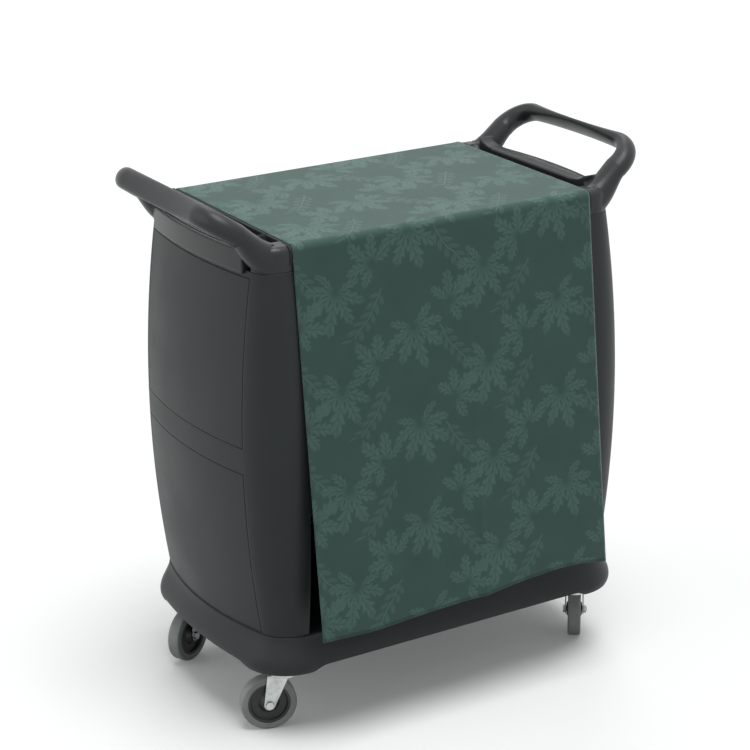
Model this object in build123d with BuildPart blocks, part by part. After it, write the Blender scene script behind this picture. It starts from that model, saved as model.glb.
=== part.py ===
from build123d import *

import os
from math import asin, atan2, cos, hypot, radians, sin, sqrt

# Service cart with crowned end panels, three shelves, push handles and four swivel casters.
# Millimetres. X runs along the cart, the cloth hangs over both long sides and Z is up. The origin is
# on the floor below the middle of the cart.

os.makedirs("parts", exist_ok=True)

# Wheels
wheel_radius = 50.8
tread_width = 25.0
tyre_depth = 12.3
tyre_overhang = 0.6
tyre_shoulder = 4.0
tyre_flank = 1.0
hub_radius = wheel_radius - tyre_depth
hub_boss_radius = 12.0
hub_web_half = 7.0
hub_rim = 6.5
hub_rim_slope = 2.0
hub_rim_half = tread_width / 2 - tyre_overhang
hub_side_play = 0.6

# Caster forks and their ball races
trail = 28.0
wheel_side_room = 3.0
fork_gap = tread_width + 2 * wheel_side_room
fork_sheet = 2.5
crown_room = 4.4
fork_crown_level = 2 * wheel_radius + crown_room
fork_crown = 3.0
fork_bend = 2.2
fork_foot_radius = 10.0
leg_lead = 9.0
leg_lag = 3.0
fork_crown_radius = 29.0
race_wall = 3.0
race_height = 7.0
ball_radius = 3.175
ball_ring_radius = 18.5
ball_count = 16
ball_play = 0.04
crown_top = fork_crown_level + fork_crown
ball_level = crown_top + ball_play / 2 + ball_radius
dome_level = ball_level + ball_radius + ball_play / 2
dome_wall = 3.0
dome_radius = 24.4
dome_height = 13.61
plate_length = 95.0
plate_width = 67.0
plate_thickness = 3.0
plate_corner = 8.0
plate_level = dome_level + dome_height
mount_level = plate_level + plate_thickness
kingpin_radius = 5.0
kingpin_head_radius = 8.5
kingpin_head = 2.6
kingpin_head_round = 0.85
axle_radius = 4.0
bush_radius = 6.3
turning_play = 0.05
held_play = 0.02
axle_head_across = 13.0
axle_head = 4.0
axle_nut_height = 5.0
axle_tail = 1.5
axle_tip_chamfer = 0.8

# Levels, each standing on the one below
boss_drop = 4.0
boss_level = mount_level - boss_drop
base_edge_level = boss_level + 10.0
base_skirt_level = boss_level + 13.0
base_flare_level = base_skirt_level + 35.0
foot_level = base_flare_level + 19.0
base_deck_level = foot_level - 13.0
waist_level = foot_level + 325.0
cap_level = waist_level + 344.0
deck_level = cap_level + 44.5

# End outline at the three levels: middle of the end, radius of its crown, seam of the panels, side of the posts
cap_centre_x = 380.0
cap_crown_radius = 972.06
cap_half_width = 218.0
seam_y = cap_half_width - 37.0
cap_seam_x = cap_centre_x - cap_crown_radius + sqrt(cap_crown_radius**2 - seam_y**2)
waist_centre_x = cap_centre_x + 30.0
waist_crown_radius = 809.3
waist_seam_x = waist_centre_x - waist_crown_radius + sqrt(waist_crown_radius**2 - seam_y**2)
waist_half_width = cap_half_width + 25.0
foot_centre_x = cap_centre_x + 9.5
foot_crown_radius = 643.02
foot_seam_x = foot_centre_x - foot_crown_radius + sqrt(foot_crown_radius**2 - seam_y**2)
foot_half_width = cap_half_width + 9.0

# End frame
frame_wall = 5.0
post_x = cap_centre_x - 88.0
post_edge_round = 5.0
recess_x = post_x + 38.0
recess_half_width = seam_y - 9.0
foot_plate = 7.0
foot_boss = 13.0
frame_span = 2000.0

# Panels and the band between them
panel_thickness = 2.5
panel_rebate = 2.7
rebate_ledge = 12.0
seam_gap = 1.2
field_near_x = recess_x + 20.0
field_far_x = waist_centre_x + 60.0
lower_field = (foot_level + 3.0, waist_level - 15.5)
upper_field = (waist_level + 31.0, cap_level - 11.0)
clip_stem = 3.5
clip_gap = 1.5
clip_barb = 5.0
clip_catch = 3.0
clip_play = 0.3
clip_length = 14.0
clip_levels = 3

# Base shelf
base_deck = 5.0
base_wall = 5.0
base_margin = 1.5
base_skirt_x = foot_seam_x + 25.5
base_crown = 15.5
base_seam_y = seam_y - 9.5
base_half_width = foot_half_width + 18.5
base_flare_x = foot_seam_x + 9.5
base_flare_crown = 22.0
base_flare_y = seam_y - 3.0
base_flare_half_width = foot_half_width + 7.0
base_tuck = 4.0
base_deck_x = post_x + 2.0
base_deck_y = foot_half_width - 13.0
base_deck_round = 18.0
base_rib = 4.0
base_rib_depth = 26.0
base_rib_x = (-150.0, 0.0, 150.0)
base_rib_y = (-80.0, 80.0)
base_arch_x = base_skirt_x - 121.0
base_arch_y = base_half_width - 105.5
base_arch_run = 34.0
base_arch_dip = 0.5

# Where the casters stand and the pads above them
swivel_x = foot_centre_x - 69.5
swivel_y = foot_half_width - 55.0
headings = {"front_left": 161.0, "back_left": 208.0, "front_right": 54.0, "back_right": 165.0}
corners = {
    "front_left": (-swivel_x, -swivel_y),
    "back_left": (-swivel_x, swivel_y),
    "front_right": (swivel_x, -swivel_y),
    "back_right": (swivel_x, swivel_y),
}
pad_length = plate_length + 13.0
pad_width = plate_width + 17.0
pad_wall = 5.0
pad_boss_radius = 10.5

# Shelves
shelf_wall = 4.0
shelf_play = 0.5
shelf_rib_depth = 18.0
shelf_rib_y = (-70.0, 70.0)
middle_foot = waist_level - 12.0
middle_deck_level = middle_foot + 27.0
middle_rim = 15.0
middle_half_width = cap_half_width + 4.0
middle_end_gap = 3.0
middle_corner = 22.0
top_edge_round = 12.0
top_skirt_inset = 3.0
ledge_reach = 18.0
ledge_height = 12.0

# Handle moulding
handle_inner_x = post_x + 16.0
trough_level = cap_level + 32.0
rail_inner_x = handle_inner_x + 18.0
rail_outer_x = handle_inner_x + 44.0
rail_top = deck_level + 2.5
rail_half_width = cap_half_width - 20.0
rail_round = 4.0
rail_shell = 5.0
rail_pocket = 20.0
apron_x = rail_outer_x + 34.0
apron_crown_radius = 991.14
apron_top = cap_level + 36.0
apron_bottom = cap_level - 5.0
apron_half_width = seam_y - 15.0
apron_end_x = apron_x - apron_crown_radius + sqrt(apron_crown_radius**2 - apron_half_width**2)
apron_thickness = 4.5
apron_round = 2.0
apron_floor = 20.0
apron_slot_inset = 13.0
apron_slot_depth = 14.0
apron_groove_inset = 5.0
apron_groove = 3.0
apron_groove_depth = 4.0
cap_round = 16.0
cap_seam_chamfer = 0.8
bar_level = deck_level + 56.0
bar_x = handle_inner_x + 126.5
bar_width = 25.4
bar_thickness = 39.4
arm_width = 48.0
loop_slope = 34.9
loop_arm_y = cap_half_width - 35.5
loop_reach = 116.0
loop_corner = 52.0
loop_straight = 4.0
arm_root_y = cap_half_width - 29.0
arm_root_level = deck_level - 30.0
arm_root_width = 54.0
arm_root_height = 62.0
arm_sections = 4
web_start = rail_half_width - 66.0
web_end = rail_half_width - 27.0
web_rise = 12.0
web_depth = 12.0
plug_depth = 14.0
plug_play = 0.5
plug_thickness = 8.0
plug_margin = 6.0
plug_screw_level = cap_level - plug_depth / 2

# Fasteners
plate_hole_x = plate_length - 19.0
plate_hole_y = plate_width - 23.0
caster_bolt_radius = 4.0
caster_bolt_length = 24.0
caster_head_across = 13.0
caster_head = 5.3
insert_radius = 6.0
insert_length = 20.0
screw_radius = 2.5
screw_head_radius = 5.0
screw_head = 2.6
screw_head_round = 1.3
screw_bite = 16.0
screw_play = 0.25
hole_tail = 1.0
shelf_screw_outer = recess_half_width - 52.0
shelf_screw_y = (-shelf_screw_outer, 0.0, shelf_screw_outer)
foot_screw_inner = 35.0
foot_screw_outer = recess_half_width - 72.0
foot_screw_y = (-foot_screw_outer, -foot_screw_inner, foot_screw_inner, foot_screw_outer)
foot_screw_x = recess_x + 22.0
plug_screw_inner = 50.0
plug_screw_outer = seam_y - 31.0
plug_screw_y = (-plug_screw_outer, -plug_screw_inner, plug_screw_inner, plug_screw_outer)
screw_boss_radius = 7.0

# Tablecloth
cloth_half_length = handle_inner_x - 4.5
cloth_thickness = 1.2
cloth_gap = 0.35
cloth_front_level = foot_level + 14.0
cloth_back_level = foot_level - 30.0
cloth_hem_y = cap_half_width + 72.0

top_skirt_level = cap_level + ledge_height
end_levels = (
    (foot_level, foot_centre_x, foot_seam_x, foot_half_width),
    (waist_level, waist_centre_x, waist_seam_x, waist_half_width),
    (cap_level, cap_centre_x, cap_seam_x, cap_half_width),
)


def crowned_end(centre_x, seam_x, seam_at, half_width, inset):
    """Points of a bowed end: middle, seam, middle of the tangent corner arc and its end on the side."""
    sag = centre_x - seam_x
    crown_radius = (seam_at**2 + sag**2) / (2 * sag)
    lean = asin(seam_at / crown_radius)
    corner_radius = (half_width - seam_at) / (1 - sin(lean))
    corner_x = seam_x - corner_radius * cos(lean)
    corner_y = half_width - corner_radius
    halfway = (lean + radians(90)) / 2
    reach = corner_radius - inset
    middle = (centre_x - inset, 0)
    seam = (corner_x + reach * cos(lean), corner_y + reach * sin(lean))
    bend = (corner_x + reach * cos(halfway), corner_y + reach * sin(halfway))
    side = (corner_x, half_width - inset)
    return middle, seam, bend, side


def flip(point, sign_x=1, sign_y=1):
    """The same point mirrored in the cart's middle planes."""
    return (sign_x * point[0], sign_y * point[1])


def end_body(inset=0.0, edge_round=0.0):
    """Solid block inside the right end's outer surface, moved in by inset."""
    with BuildPart() as body:
        for level, centre_x, seam_x, half_width in end_levels:
            middle, seam, bend, side = crowned_end(centre_x, seam_x, seam_y, half_width, inset)
            inner = (post_x + inset, half_width - inset)
            with BuildSketch(Plane.XY.offset(level)) as outline:
                with BuildLine():
                    ThreePointArc(flip(seam, 1, -1), middle, seam)
                    ThreePointArc(seam, bend, side)
                    Line(side, inner)
                    Line(inner, flip(inner, 1, -1))
                    Line(flip(inner, 1, -1), flip(side, 1, -1))
                    ThreePointArc(flip(side, 1, -1), flip(bend, 1, -1), flip(seam, 1, -1))
                make_face()
                if edge_round > 0:
                    fillet(outline.vertices().sort_by(Axis.X)[:2], edge_round)
        loft()
    return body.part


def field_box(field, shrink=0.0):
    """Block over one panel's field on the right end, made smaller by shrink on its four sides."""
    low, high = field
    with BuildPart() as block:
        with Locations(((field_near_x + field_far_x) / 2, 0, (low + high) / 2)):
            Box(field_far_x - field_near_x, 2 * (seam_y - shrink), high - low - 2 * shrink)
    return block.part


# Surfaces that the end frame and its panels share
outer_body = end_body(0.0, post_edge_round)
wall_body = end_body(frame_wall)
rebate_body = end_body(panel_rebate)
skin_body = end_body(panel_thickness)
catch_body = end_body(frame_wall + clip_play)
clip_body = end_body(frame_wall + clip_play + clip_catch)


def field_rebate(field):
    """What the end frame loses so that a panel sits flush in it."""
    with BuildPart() as rebate:
        add(field_box(field))
        add(rebate_body, mode=Mode.SUBTRACT)
    return rebate.part


def clip_blocks(field, from_y, to_y, near_body, far_body):
    """Blocks behind both side edges of a panel, between two inner surfaces of the end."""
    low, high = field
    step = (high - low - 2 * rebate_ledge) / clip_levels
    first = (low + high - step * (clip_levels - 1)) / 2
    places = [
        ((field_near_x + field_far_x) / 2, side * (from_y + to_y) / 2, first + row * step)
        for side in (-1, 1)
        for row in range(clip_levels)
    ]
    with BuildPart() as blocks:
        with Locations(places):
            Box(field_far_x - field_near_x, to_y - from_y, clip_length)
        add(near_body, mode=Mode.INTERSECT)
        add(far_body, mode=Mode.SUBTRACT)
    return blocks.part


def end_panel(field):
    """One flush panel with snap clips that catch behind the end frame's ledge."""
    ledge_y = seam_y - rebate_ledge
    stem_outer = ledge_y - clip_gap
    with BuildPart() as panel:
        add(field_box(field, seam_gap))
        add(outer_body, mode=Mode.INTERSECT)
        add(skin_body, mode=Mode.SUBTRACT)
        add(clip_blocks(field, stem_outer - clip_stem, stem_outer, skin_body, clip_body))
        add(clip_blocks(field, stem_outer - clip_stem, ledge_y + clip_barb, catch_body, clip_body))
    return panel.part


# End frames: hollow tubes in plan, closed at the foot, with two windows that the panels sit in
with BuildPart() as frame_hollow:
    add(wall_body)
    with Locations((recess_x + frame_wall, 0, foot_level)):
        Box(
            frame_span, 2 * (recess_half_width + frame_wall), frame_span,
            align=(Align.MAX, Align.CENTER, Align.CENTER), mode=Mode.SUBTRACT,
        )
    with Locations((recess_x, 0, foot_level + foot_plate)):
        Box(
            frame_span, frame_span, frame_span,
            align=(Align.CENTER, Align.CENTER, Align.MAX), mode=Mode.SUBTRACT,
        )

with BuildPart() as right_end_frame:
    add(outer_body)
    with Locations((recess_x, 0, foot_level)):
        Box(
            frame_span, 2 * recess_half_width, frame_span,
            align=(Align.MAX, Align.CENTER, Align.CENTER), mode=Mode.SUBTRACT,
        )
    add(frame_hollow.part, mode=Mode.SUBTRACT)
    for field in (lower_field, upper_field):
        add(field_rebate(field), mode=Mode.SUBTRACT)
        add(field_box(field, rebate_ledge), mode=Mode.SUBTRACT)
    with Locations((recess_x, 0, middle_foot)):
        Box(
            ledge_reach, 2 * recess_half_width, ledge_height,
            align=(Align.MAX, Align.CENTER, Align.MAX),
        )
    with Locations([(foot_screw_x, y, foot_level + foot_plate) for y in foot_screw_y]):
        Cylinder(screw_boss_radius, foot_boss, align=(Align.CENTER, Align.CENTER, Align.MIN))
    with Locations([(foot_screw_x, y, foot_level) for y in foot_screw_y]):
        Cylinder(screw_radius + held_play, 2 * (screw_bite + hole_tail), mode=Mode.SUBTRACT)
    with Locations([(recess_x - ledge_reach / 2, y, middle_foot) for y in shelf_screw_y]):
        Cylinder(screw_radius + screw_play, 3 * ledge_height, mode=Mode.SUBTRACT)
    with Locations([(recess_x, y, plug_screw_level) for y in plug_screw_y]):
        Cylinder(
            screw_radius + screw_play, 3 * frame_wall, rotation=(0, 90, 0), mode=Mode.SUBTRACT,
        )


# Handles: end rail behind a narrow trough, bowed apron, two corner caps and the D-shaped push bar
with BuildPart() as corner_caps:
    middle, seam, bend, side = crowned_end(cap_centre_x, cap_seam_x, seam_y, cap_half_width, 0)
    with BuildSketch(Plane.XY.offset(cap_level)):
        with BuildLine():
            ThreePointArc(flip(seam, 1, -1), middle, seam)
            ThreePointArc(seam, bend, side)
            Line(side, (handle_inner_x, cap_half_width))
            Line((handle_inner_x, cap_half_width), (handle_inner_x, -cap_half_width))
            Line((handle_inner_x, -cap_half_width), flip(side, 1, -1))
            ThreePointArc(flip(side, 1, -1), flip(bend, 1, -1), flip(seam, 1, -1))
        make_face()
    extrude(amount=deck_level - cap_level)
    fillet(corner_caps.faces().sort_by(Axis.Z)[-1].edges().sort_by(Axis.X)[1:], cap_round)
    chamfer(corner_caps.faces().sort_by(Axis.Z)[0].edges().sort_by(Axis.X)[1:], cap_seam_chamfer)
    with Locations((recess_x, 0, cap_level)):
        Box(frame_span, 2 * seam_y, frame_span, mode=Mode.SUBTRACT)

slope = radians(loop_slope)
loop_root = (bar_x - loop_reach * cos(slope), 0, bar_level - loop_reach * sin(slope))
loop_plane = Plane(origin=loop_root, x_dir=(cos(slope), 0, sin(slope)), z_dir=(-sin(slope), 0, cos(slope)))
arm_end = loop_reach - loop_corner - loop_straight

with BuildPart() as push_bar:
    with BuildLine(loop_plane) as bar_path:
        FilletPolyline(
            (arm_end, -loop_arm_y), (loop_reach, -loop_arm_y), (loop_reach, loop_arm_y),
            (arm_end, loop_arm_y), radius=loop_corner,
        )
    loop = bar_path.wires()[0]
    corner_share = (loop_straight + loop_corner * radians(90)) / loop.length
    bar_sections = ((0, arm_width), (corner_share, bar_width), (1 - corner_share, bar_width), (1, arm_width))
    for along, width in bar_sections:
        across = loop_plane.z_dir.cross(loop % along)
        with BuildSketch(Plane(origin=loop @ along, x_dir=across, z_dir=loop % along)):
            Ellipse(width / 2, bar_thickness / 2)
    sweep(path=loop, multisection=True)

with BuildLine() as arm_path:
    Spline(
        (handle_inner_x, -arm_root_y, arm_root_level), loop @ 0,
        tangents=((1, 0, 0), loop % 0),
    )

with BuildPart() as bar_arms:
    for section in range(arm_sections):
        along = section / (arm_sections - 1)
        ease = along**2 * (3 - 2 * along)
        with BuildSketch(Plane(
            origin=arm_path.line @ along, x_dir=(0, 1, 0), z_dir=arm_path.line % along,
        )):
            Ellipse(
                (arm_root_width + (arm_width - arm_root_width) * ease) / 2,
                (arm_root_height + (bar_thickness - arm_root_height) * ease) / 2,
            )
    loft()
    mirror(about=Plane.XZ)
    with Locations((handle_inner_x, 0, cap_level)):
        Box(
            frame_span, frame_span, frame_span,
            align=(Align.CENTER, Align.CENTER, Align.MAX), mode=Mode.SUBTRACT,
        )

with BuildPart() as arm_webs:
    with BuildSketch(Plane.YZ.offset(rail_inner_x)):
        with BuildLine():
            TangentArc((-web_start, rail_top), (-web_end, rail_top + web_rise), tangent=(-1, 0))
            Polyline(
                (-web_end, rail_top + web_rise), (-web_end, rail_top - web_depth),
                (-web_start, rail_top - web_depth), (-web_start, rail_top),
            )
        make_face()
    extrude(amount=rail_outer_x - rail_inner_x)
    mirror(about=Plane.XZ)


def apron_outline(inset):
    """Plan of the apron moved in by inset, as a sketch that stands against the rail."""
    end = (apron_end_x - inset, apron_half_width - inset)
    with BuildSketch() as outline:
        with BuildLine():
            ThreePointArc(flip(end, 1, -1), (apron_x - inset, 0), end)
            Polyline(end, (rail_outer_x, end[1]), (rail_outer_x, -end[1]), flip(end, 1, -1))
        make_face()
    return outline.sketch


with BuildPart() as apron:
    with BuildSketch(Plane.XY.offset(apron_bottom)):
        add(apron_outline(0))
    extrude(amount=apron_top - apron_bottom)
    fillet(apron.faces().sort_by(Axis.Z)[-1].edges().sort_by(Axis.X)[1:], apron_round)
    with BuildSketch(Plane.XY.offset(apron_bottom)):
        add(apron_outline(apron_thickness))
    extrude(amount=apron_top - apron_floor - apron_bottom, mode=Mode.SUBTRACT)
    with BuildSketch(Plane.XY.offset(apron_top)):
        add(apron_outline(apron_slot_inset))
    extrude(amount=-apron_slot_depth, mode=Mode.SUBTRACT)
    with BuildSketch(Plane.XY.offset(apron_top)):
        add(apron_outline(apron_groove_inset))
        add(apron_outline(apron_groove_inset + apron_groove), mode=Mode.SUBTRACT)
    extrude(amount=-apron_groove_depth, mode=Mode.SUBTRACT)
    with Locations((apron_end_x - apron_thickness, 0, cap_level)):
        Box(
            frame_span, frame_span, frame_span,
            align=(Align.MAX, Align.CENTER, Align.MAX), mode=Mode.SUBTRACT,
        )

with BuildPart() as right_handle:
    with BuildSketch(Plane.XZ) as rail:
        with BuildLine():
            Polyline(
                (handle_inner_x, cap_level), (handle_inner_x, trough_level), (rail_inner_x, trough_level),
                (rail_inner_x, rail_top), (rail_outer_x, rail_top), (rail_outer_x, cap_level), close=True,
            )
        make_face()
        fillet(rail.vertices().group_by(Axis.Y)[-1], rail_round)
    extrude(amount=rail_half_width, both=True)
    with Locations(((handle_inner_x + rail_outer_x) / 2, 0, cap_level)):
        Box(
            rail_outer_x - handle_inner_x - 2 * rail_shell, 2 * (seam_y - rail_shell),
            2 * rail_pocket, mode=Mode.SUBTRACT,
        )
    add(apron.part)
    add(corner_caps.part)
    with Locations((handle_inner_x, 0, cap_level)):
        Box(
            ledge_reach, 2 * cap_half_width, ledge_height,
            align=(Align.MAX, Align.CENTER, Align.MIN),
        )
    with Locations((recess_x + frame_wall + plug_play, 0, cap_level - plug_depth)):
        Box(
            plug_thickness, 2 * (seam_y - plug_margin), plug_depth + rail_pocket,
            align=(Align.MIN, Align.CENTER, Align.MIN),
        )
    add(push_bar.part)
    add(bar_arms.part)
    add(arm_webs.part)
    with Locations([(handle_inner_x - ledge_reach / 2, y, cap_level) for y in shelf_screw_y]):
        Cylinder(screw_radius + screw_play, 3 * ledge_height, mode=Mode.SUBTRACT)
    with Locations([(recess_x + frame_wall, y, plug_screw_level) for y in plug_screw_y]):
        Cylinder(
            screw_radius + held_play, 2 * screw_bite, rotation=(0, 90, 0), mode=Mode.SUBTRACT,
        )


# Base shelf: flared skirt, sunk deck, ribs and four hanging caster bosses
base_levels = (
    (
        foot_level, foot_centre_x + base_margin, foot_seam_x + base_margin, seam_y,
        foot_half_width + base_margin,
    ),
    (
        base_flare_level, base_flare_x + base_flare_crown, base_flare_x, base_flare_y,
        base_flare_half_width,
    ),
    (base_skirt_level, base_skirt_x + base_crown, base_skirt_x, base_seam_y, base_half_width),
    (
        boss_level, base_skirt_x + base_crown - base_tuck, base_skirt_x - base_tuck, base_seam_y,
        base_half_width - base_tuck,
    ),
)


def base_body(levels, inset):
    """Solid block inside the base's outer surface, moved in by inset."""
    with BuildPart() as body:
        for level, centre_x, seam_x, seam_at, half_width in levels:
            middle, seam, bend, side = crowned_end(centre_x, seam_x, seam_at, half_width, inset)
            with BuildSketch(Plane.XY.offset(level)):
                with BuildLine():
                    ThreePointArc(flip(seam, 1, -1), middle, seam)
                    ThreePointArc(seam, bend, side)
                    Line(side, flip(side, -1, 1))
                    ThreePointArc(flip(side, -1, 1), flip(bend, -1, 1), flip(seam, -1, 1))
                    ThreePointArc(flip(seam, -1, 1), flip(middle, -1, 1), flip(seam, -1, -1))
                    ThreePointArc(flip(seam, -1, -1), flip(bend, -1, -1), flip(side, -1, -1))
                    Line(flip(side, -1, -1), flip(side, 1, -1))
                    ThreePointArc(flip(side, 1, -1), flip(bend, 1, -1), flip(seam, 1, -1))
                make_face()
        loft()
    return body.part


deck_underside = base_deck_level - base_deck
shoulder_underside = foot_level - base_deck
bolt_places = [
    (x + step_x * plate_hole_x / 2, y + step_y * plate_hole_y / 2)
    for x, y in corners.values()
    for step_x in (-1, 1)
    for step_y in (-1, 1)
]

with BuildPart() as underside:
    add(base_body(base_levels, base_wall))
    with Locations((0, 0, shoulder_underside)):
        Box(
            frame_span, frame_span, frame_span,
            align=(Align.CENTER, Align.CENTER, Align.MIN), mode=Mode.SUBTRACT,
        )
    with Locations((0, 0, deck_underside)):
        Box(
            2 * (base_deck_x + base_wall), 2 * (base_deck_y + base_wall), frame_span,
            align=(Align.CENTER, Align.CENTER, Align.MIN), mode=Mode.SUBTRACT,
        )

with BuildPart() as base_ribs:
    with Locations([(0, y, deck_underside) for y in base_rib_y]):
        Box(2 * base_skirt_x, base_rib, base_rib_depth, align=(Align.CENTER, Align.CENTER, Align.MAX))
    with Locations([(x, 0, deck_underside) for x in base_rib_x]):
        Box(base_rib, 2 * base_half_width, base_rib_depth, align=(Align.CENTER, Align.CENTER, Align.MAX))
    add(underside.part, mode=Mode.INTERSECT)

# Caster pads: a walled field with a cross rib and four bosses for the threaded inserts
pad_places = [(x, y, mount_level) for x, y in corners.values()]
with BuildPart() as pads:
    with Locations(pad_places):
        Box(pad_length, pad_width, foot_level, align=(Align.CENTER, Align.CENTER, Align.MIN))
        Box(
            pad_length - 2 * pad_wall, pad_width - 2 * pad_wall, foot_level,
            align=(Align.CENTER, Align.CENTER, Align.MIN), mode=Mode.SUBTRACT,
        )
        Box(pad_length, base_rib, foot_level, align=(Align.CENTER, Align.CENTER, Align.MIN))
        Box(base_rib, pad_width, foot_level, align=(Align.CENTER, Align.CENTER, Align.MIN))
    with Locations([(x, y, mount_level) for x, y in bolt_places]):
        Cylinder(pad_boss_radius, foot_level, align=(Align.CENTER, Align.CENTER, Align.MIN))
    add(underside.part, mode=Mode.INTERSECT)

with BuildPart() as base_shelf:
    add(base_body(base_levels, 0))
    with BuildSketch(Plane.XY.offset(base_deck_level)):
        RectangleRounded(2 * base_deck_x, 2 * base_deck_y, base_deck_round)
    extrude(amount=frame_span, mode=Mode.SUBTRACT)
    add(underside.part, mode=Mode.SUBTRACT)
    add(base_ribs.part)
    add(pads.part)
    for plane, half_run in ((Plane.XZ, base_arch_x), (Plane.YZ, base_arch_y)):
        with BuildSketch(plane):
            with BuildLine():
                foot = (half_run + base_arch_run, boss_level - base_arch_dip)
                shoulder = (half_run, base_edge_level)
                Spline(flip(foot, -1), flip(shoulder, -1), tangents=((1, 0), (1, 0)))
                Line(flip(shoulder, -1), shoulder)
                Spline(shoulder, foot, tangents=((1, 0), (1, 0)))
                Line(foot, flip(foot, -1))
            make_face()
        extrude(amount=frame_span / 2, both=True, mode=Mode.SUBTRACT)
    with Locations([(x, y, mount_level) for x, y in bolt_places]):
        Cylinder(
            insert_radius + held_play, insert_length + hole_tail,
            align=(Align.CENTER, Align.CENTER, Align.MIN), mode=Mode.SUBTRACT,
        )
    with Locations([(side * foot_screw_x, y, foot_level) for side in (-1, 1) for y in foot_screw_y]):
        Cylinder(
            screw_radius + screw_play, frame_span, align=(Align.CENTER, Align.CENTER, Align.MAX),
            mode=Mode.SUBTRACT,
        )


# Middle shelf: rimmed tray whose tongues rest on the end frames' ledges
middle_body_x = post_x - middle_end_gap
tongue_x = recess_x - shelf_play
tongue_y = recess_half_width - shelf_play
middle_screw_x = recess_x - ledge_reach / 2
middle_screw_places = [(side * middle_screw_x, y) for side in (-1, 1) for y in shelf_screw_y]

with BuildPart() as middle_shelf:
    with BuildSketch(Plane.XY.offset(middle_foot)):
        RectangleRounded(2 * middle_body_x, 2 * middle_half_width, middle_corner)
        Rectangle(2 * tongue_x, 2 * tongue_y)
    extrude(amount=middle_deck_level + middle_rim - middle_foot)
    with BuildSketch(Plane.XY.offset(middle_deck_level)):
        RectangleRounded(
            2 * (middle_body_x - 2 * shelf_wall), 2 * (middle_half_width - 2 * shelf_wall),
            middle_corner - 2 * shelf_wall,
        )
    extrude(amount=2 * middle_rim, mode=Mode.SUBTRACT)
    with BuildSketch(Plane.XY.offset(middle_foot)):
        RectangleRounded(
            2 * (middle_body_x - shelf_wall), 2 * (middle_half_width - shelf_wall),
            middle_corner - shelf_wall,
        )
        Rectangle(2 * (tongue_x - shelf_wall), 2 * (tongue_y - shelf_wall))
    extrude(amount=middle_deck_level - shelf_wall - middle_foot, mode=Mode.SUBTRACT)
    with Locations([(0, y, middle_deck_level - shelf_wall) for y in shelf_rib_y]):
        Box(
            2 * (tongue_x - shelf_wall), shelf_wall, shelf_rib_depth,
            align=(Align.CENTER, Align.CENTER, Align.MAX),
        )
    with Locations([(x, y, middle_foot) for x, y in middle_screw_places]):
        Cylinder(
            screw_boss_radius, middle_deck_level - middle_foot,
            align=(Align.CENTER, Align.CENTER, Align.MIN),
        )
        Cylinder(
            screw_radius + held_play, screw_bite + hole_tail, align=(Align.CENTER, Align.CENTER, Align.MIN),
            mode=Mode.SUBTRACT,
        )

# Top shelf: flat deck with a rounded front and back edge, held between the two handles
top_half_length = handle_inner_x - shelf_play
top_screw_x = handle_inner_x - ledge_reach / 2
top_screw_places = [(side * top_screw_x, y) for side in (-1, 1) for y in shelf_screw_y]

with BuildPart() as top_shelf:
    with Locations((0, 0, top_skirt_level)):
        Box(
            2 * top_half_length, 2 * cap_half_width, deck_level - top_skirt_level,
            align=(Align.CENTER, Align.CENTER, Align.MIN),
        )
    fillet(top_shelf.faces().sort_by(Axis.Z)[-1].edges().filter_by(Axis.X), top_edge_round)
    with Locations((0, 0, top_skirt_level)):
        Box(
            2 * (top_half_length - shelf_wall), 2 * (cap_half_width - shelf_wall - top_skirt_inset),
            deck_level - shelf_wall - top_skirt_level,
            align=(Align.CENTER, Align.CENTER, Align.MIN), mode=Mode.SUBTRACT,
        )
    with Locations([(0, y, deck_level - shelf_wall) for y in shelf_rib_y]):
        Box(
            2 * (top_half_length - shelf_wall), shelf_wall, shelf_rib_depth,
            align=(Align.CENTER, Align.CENTER, Align.MAX),
        )
    with Locations([(x, y, top_skirt_level) for x, y in top_screw_places]):
        Cylinder(
            screw_boss_radius, deck_level - top_skirt_level - shelf_wall,
            align=(Align.CENTER, Align.CENTER, Align.MIN),
        )
        Cylinder(
            screw_radius + held_play, screw_bite + hole_tail, align=(Align.CENTER, Align.CENTER, Align.MIN),
            mode=Mode.SUBTRACT,
        )

# Caster, built about its own swivel axis with the wheel trailing towards +X
leg_y = fork_gap / 2
fork_bend_level = fork_crown_level + fork_crown / 2

with BuildPart() as plate:
    with BuildSketch(Plane.XY.offset(plate_level)):
        RectangleRounded(plate_length, plate_width, plate_corner)
        with GridLocations(plate_hole_x, plate_hole_y, 2, 2):
            Circle(caster_bolt_radius + screw_play, mode=Mode.SUBTRACT)
    extrude(amount=plate_thickness)
    with Locations((0, 0, dome_level)):
        Cylinder(dome_radius, plate_level - dome_level, align=(Align.CENTER, Align.CENTER, Align.MIN))
    with Locations((0, 0, dome_level + dome_wall)):
        Cylinder(
            dome_radius - dome_wall, mount_level - dome_level,
            align=(Align.CENTER, Align.CENTER, Align.MIN), mode=Mode.SUBTRACT,
        )
    with Locations((0, 0, dome_level)):
        Cylinder(kingpin_radius + held_play, 4 * dome_wall, mode=Mode.SUBTRACT)

pin_foot = fork_crown_level - turning_play - kingpin_head
pin_head = dome_level + dome_wall

with BuildPart() as kingpin:
    with Locations((0, 0, pin_foot)):
        Cylinder(kingpin_radius, pin_head - pin_foot, align=(Align.CENTER, Align.CENTER, Align.MIN))
        Cylinder(kingpin_head_radius, kingpin_head, align=(Align.CENTER, Align.CENTER, Align.MIN))
    with Locations((0, 0, pin_head)):
        Cylinder(kingpin_head_radius, kingpin_head, align=(Align.CENTER, Align.CENTER, Align.MIN))
    fillet(kingpin.faces().sort_by(Axis.Z)[0].edges(), kingpin_head_round)
    fillet(kingpin.faces().sort_by(Axis.Z)[-1].edges(), kingpin_head_round)

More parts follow.
